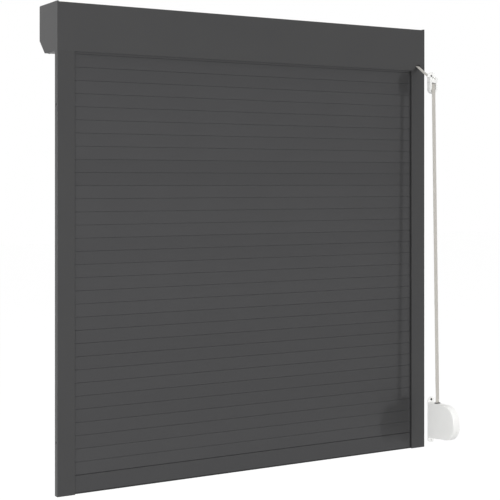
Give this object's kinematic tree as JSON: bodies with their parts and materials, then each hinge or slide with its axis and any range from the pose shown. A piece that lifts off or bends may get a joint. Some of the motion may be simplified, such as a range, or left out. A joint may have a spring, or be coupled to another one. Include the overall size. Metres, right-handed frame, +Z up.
{
  "type": "exterior roller shutter",
  "caption": "Exterior roller shutter: bevelled sheet cassette over a slatted curtain in two guide rails, worked by a strap that runs over a wall guide to a wall winder.",
  "frame": {"origin": "centre of the cassette's room-side face, at the height of the winding shaft's axis", "axes": "+Z up, +Y from the room side to the outdoor side, +X to the right as seen from the room (the strap side)"},
  "size_m": [1.29, 0.3355, 1.382],
  "materials": {
    "anthracite_sheet": "satin anthracite powder coat on aluminium sheet",
    "anthracite_cap": "satin anthracite powder coat on die-cast end caps",
    "anthracite_rail": "satin anthracite powder coat on extruded rails",
    "anthracite_slat": "satin anthracite coil coat on slats",
    "anthracite_bar": "satin anthracite powder coat on the bottom bar",
    "black_plastic": "matt black moulded plastic",
    "brush_seal": "black pile seal",
    "black_rubber": "matt black seal rubber",
    "galvanised_steel": "galvanised steel sheet",
    "bearing_steel": "polished bearing steel",
    "pin_steel": "bright drawn steel",
    "screw_steel": "dark coated screws",
    "spring_steel": "blue-grey spring steel",
    "strap_fabric": "woven beige-grey strap",
    "white_plastic": "white moulded plastic, slight sheen",
    "ivory_plastic": "off-white moulded plastic"
  },
  "bodies": {
    "frame": {"cassette_shell": "anthracite_sheet", "cassette_cover": "anthracite_sheet", "left_end_cap": "anthracite_cap", "right_end_cap": "anthracite_cap", "cassette_screws": "screw_steel", "left_guide_rail": "anthracite_rail", "right_guide_rail": "anthracite_rail", "left_rail_seal": "brush_seal", "right_rail_seal": "brush_seal", "left_inlet_funnel": "black_plastic", "right_inlet_funnel": "black_plastic", "left_rail_plug": "black_plastic", "right_rail_plug": "black_plastic", "bearing_outer_rings": "bearing_steel", "curtain_hangers": "spring_steel", "strap_outlet": "black_plastic", "strap": "strap_fabric", "guide_base": "white_plastic", "guide_hood": "white_plastic", "guide_axle": "pin_steel", "winder_base": "white_plastic", "winder_cover": "white_plastic", "winder_screws": "pin_steel", "spool_axle": "pin_steel", "spool_spring": "spring_steel", "clamp_pin": "pin_steel"},
    "bar": {"bottom_bar": "anthracite_bar", "bottom_seal": "black_rubber", "bar_stops": "black_plastic", "stop_screws": "pin_steel"},
    "slats_01": {"slat_pair_01": "anthracite_slat"},
    "slats_02": {"slat_pair_02": "anthracite_slat"},
    "slats_03": {"slat_pair_03": "anthracite_slat"},
    "slats_04": {"slat_pair_04": "anthracite_slat"},
    "slats_05": {"slat_pair_05": "anthracite_slat"},
    "slats_06": {"slat_pair_06": "anthracite_slat"},
    "slats_07": {"slat_pair_07": "anthracite_slat"},
    "slats_08": {"slat_pair_08": "anthracite_slat"},
    "slats_09": {"slat_pair_09": "anthracite_slat"},
    "slats_10": {"slat_pair_10": "anthracite_slat"},
    "slats_11": {"slat_pair_11": "anthracite_slat"},
    "slats_12": {"slat_pair_12": "anthracite_slat"},
    "slats_13": {"slat_pair_13": "anthracite_slat"},
    "slats_14": {"slat_pair_14": "anthracite_slat"},
    "slats_15": {"slat_pair_15": "anthracite_slat"},
    "slats_16": {"slat_pair_16": "anthracite_slat"},
    "upper_slat": {"top_slat": "anthracite_slat"},
    "shaft": {"winding_shaft": "galvanised_steel", "end_capsule": "black_plastic", "capsule_pin": "pin_steel", "strap_pulley": "black_plastic", "pulley_pin": "pin_steel", "bearing_inner_rings": "bearing_steel", "pulley_strap_coil": "strap_fabric"},
    "balls": {"bearing_balls": "bearing_steel"},
    "roller": {"guide_roller": "ivory_plastic"},
    "spool": {"strap_spool": "ivory_plastic", "spool_strap_coil": "strap_fabric"},
    "clamp": {"strap_clamp": "black_plastic"}
  },
  "joints": [
    {"name": "curtain_lift", "type": "slide", "parent": "frame", "child": "bar", "axis": [0, 0, 1], "range_m": [0, 1.2205], "deforming": ["slat_pair_01", "slat_pair_02", "slat_pair_03", "slat_pair_04", "slat_pair_05", "slat_pair_06", "slat_pair_07", "slat_pair_08", "slat_pair_09", "slat_pair_10", "slat_pair_11", "slat_pair_12", "slat_pair_13", "slat_pair_14", "slat_pair_15", "slat_pair_16", "top_slat", "curtain_hangers"]},
    {"name": "slats_01_lift", "type": "slide", "parent": "frame", "child": "slats_01", "axis": [0, 0, 1], "range_m": [0, 1.2206]},
    {"name": "slats_02_lift", "type": "slide", "parent": "frame", "child": "slats_02", "axis": [0, 0, 1], "range_m": [0, 1.148]},
    {"name": "slats_03_lift", "type": "slide", "parent": "frame", "child": "slats_03", "axis": [0, 0, 1], "range_m": [0, 1.0755]},
    {"name": "slats_04_lift", "type": "slide", "parent": "frame", "child": "slats_04", "axis": [0, 0, 1], "range_m": [0, 1.003]},
    {"name": "slats_05_lift", "type": "slide", "parent": "frame", "child": "slats_05", "axis": [0, 0, 1], "range_m": [0, 0.9305]},
    {"name": "slats_06_lift", "type": "slide", "parent": "frame", "child": "slats_06", "axis": [0, 0, 1], "range_m": [0, 0.858]},
    {"name": "slats_07_lift", "type": "slide", "parent": "frame", "child": "slats_07", "axis": [0, 0, 1], "range_m": [0, 0.7854]},
    {"name": "slats_08_lift", "type": "slide", "parent": "frame", "child": "slats_08", "axis": [0, 0, 1], "range_m": [0, 0.7129]},
    {"name": "slats_09_lift", "type": "slide", "parent": "frame", "child": "slats_09", "axis": [0, 0, 1], "range_m": [0, 0.6404]},
    {"name": "slats_10_lift", "type": "slide", "parent": "frame", "child": "slats_10", "axis": [0, 0, 1], "range_m": [0, 0.5679]},
    {"name": "slats_11_lift", "type": "slide", "parent": "frame", "child": "slats_11", "axis": [0, 0, 1], "range_m": [0, 0.4953]},
    {"name": "slats_12_lift", "type": "slide", "parent": "frame", "child": "slats_12", "axis": [0, 0, 1], "range_m": [0, 0.4228]},
    {"name": "slats_13_lift", "type": "slide", "parent": "frame", "child": "slats_13", "axis": [0, 0, 1], "range_m": [0, 0.3503]},
    {"name": "slats_14_lift", "type": "slide", "parent": "frame", "child": "slats_14", "axis": [0, 0, 1], "range_m": [0, 0.2778]},
    {"name": "slats_15_lift", "type": "slide", "parent": "frame", "child": "slats_15", "axis": [0, 0, 1], "range_m": [0, 0.2053]},
    {"name": "slats_16_lift", "type": "slide", "parent": "frame", "child": "slats_16", "axis": [0, 0, 1], "range_m": [0, 0.1328]},
    {"name": "upper_slat_lift", "type": "slide", "parent": "frame", "child": "upper_slat", "axis": [0, 0, 1], "range_m": [0, 0.0602]},
    {"name": "shaft_spin", "type": "hinge", "parent": "frame", "child": "shaft", "pos_m": [0, 0.0685, 0], "axis": [1, 0, 0], "range_deg": [-1644, 0]},
    {"name": "ball_spin", "type": "hinge", "parent": "frame", "child": "balls", "pos_m": [0, 0.0685, 0], "axis": [1, 0, 0], "range_deg": [-642, 0]},
    {"name": "roller_spin", "type": "hinge", "parent": "frame", "child": "roller", "pos_m": [0.6175, -0.072, -0.11186], "axis": [1, 0, 0], "continuous": true},
    {"name": "spool_spin", "type": "hinge", "parent": "frame", "child": "spool", "pos_m": [0.6175, -0.13156, -1.2075], "axis": [1, 0, 0], "range_deg": [-2456, 0]},
    {"name": "clamp_tilt", "type": "hinge", "parent": "frame", "child": "clamp", "pos_m": [0.6175, -0.0926, -1.1675], "axis": [1, 0, 0], "range_deg": [0, 12]}
  ],
  "couplings": [
    {"joint": "slats_01_lift", "follows": "curtain_lift", "ratio": 1},
    {"joint": "slats_02_lift", "follows": "curtain_lift", "ratio": 0.94058},
    {"joint": "slats_03_lift", "follows": "curtain_lift", "ratio": 0.88116},
    {"joint": "slats_04_lift", "follows": "curtain_lift", "ratio": 0.82174},
    {"joint": "slats_05_lift", "follows": "curtain_lift", "ratio": 0.76233},
    {"joint": "slats_06_lift", "follows": "curtain_lift", "ratio": 0.70291},
    {"joint": "slats_07_lift", "follows": "curtain_lift", "ratio": 0.64349},
    {"joint": "slats_08_lift", "follows": "curtain_lift", "ratio": 0.58407},
    {"joint": "slats_09_lift", "follows": "curtain_lift", "ratio": 0.52465},
    {"joint": "slats_10_lift", "follows": "curtain_lift", "ratio": 0.46524},
    {"joint": "slats_11_lift", "follows": "curtain_lift", "ratio": 0.40582},
    {"joint": "slats_12_lift", "follows": "curtain_lift", "ratio": 0.3464},
    {"joint": "slats_13_lift", "follows": "curtain_lift", "ratio": 0.28698},
    {"joint": "slats_14_lift", "follows": "curtain_lift", "ratio": 0.22756},
    {"joint": "slats_15_lift", "follows": "curtain_lift", "ratio": 0.16814},
    {"joint": "slats_16_lift", "follows": "curtain_lift", "ratio": 0.10873},
    {"joint": "upper_slat_lift", "follows": "curtain_lift", "ratio": 0.049308},
    {"joint": "shaft_spin", "follows": "curtain_lift", "rad_per_m": -23.5},
    {"joint": "ball_spin", "follows": "curtain_lift", "rad_per_m": -9.165},
    {"joint": "roller_spin", "follows": "curtain_lift", "rad_per_m": 126},
    {"joint": "spool_spin", "follows": "curtain_lift", "rad_per_m": -35.1}
  ]
}
